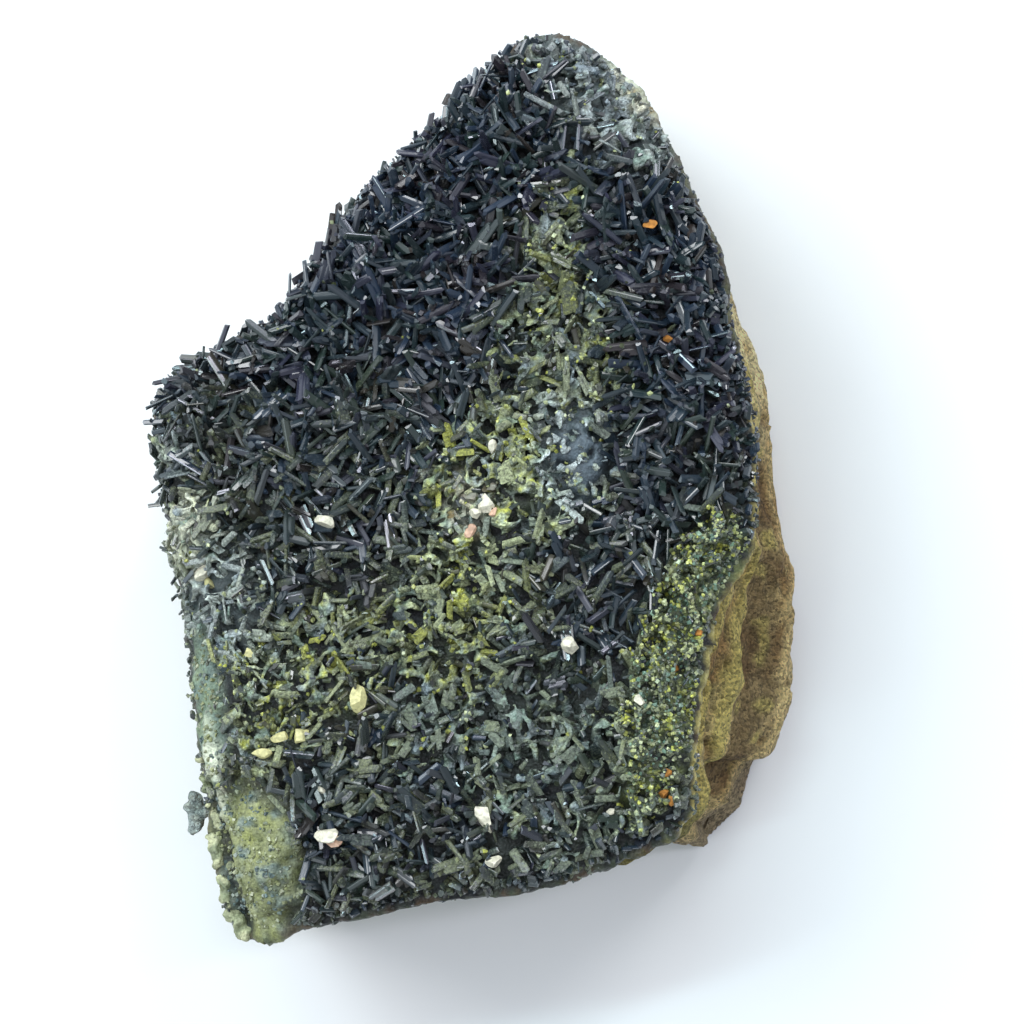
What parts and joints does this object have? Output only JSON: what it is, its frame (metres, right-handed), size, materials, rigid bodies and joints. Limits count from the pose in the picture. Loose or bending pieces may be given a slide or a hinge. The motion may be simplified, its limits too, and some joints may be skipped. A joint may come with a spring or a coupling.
{
  "type": "epidote crystal specimen",
  "caption": "Hand-sized block of yellow-brown host rock with one face covered by a dense crust of dark green to black epidote prisms, lying on its flat back.",
  "frame": {"origin": "under the middle of the specimen's bounding box, on the surface that its flat back lies on", "axes": "+Z out of the crystal face, away from the flat back; +Y along the specimen's length, towards its pointed end"},
  "size_m": [0.1084, 0.1538, 0.0585],
  "materials": {
    "host_rock": "rough, limonite-stained, sugar-grained",
    "epidote": "glossy dark prisms, in places coated with a matt olive film"
  },
  "bodies": {
    "root": {"host_rock": "host_rock", "epidote_druse": "epidote"}
  },
  "joints": []
}
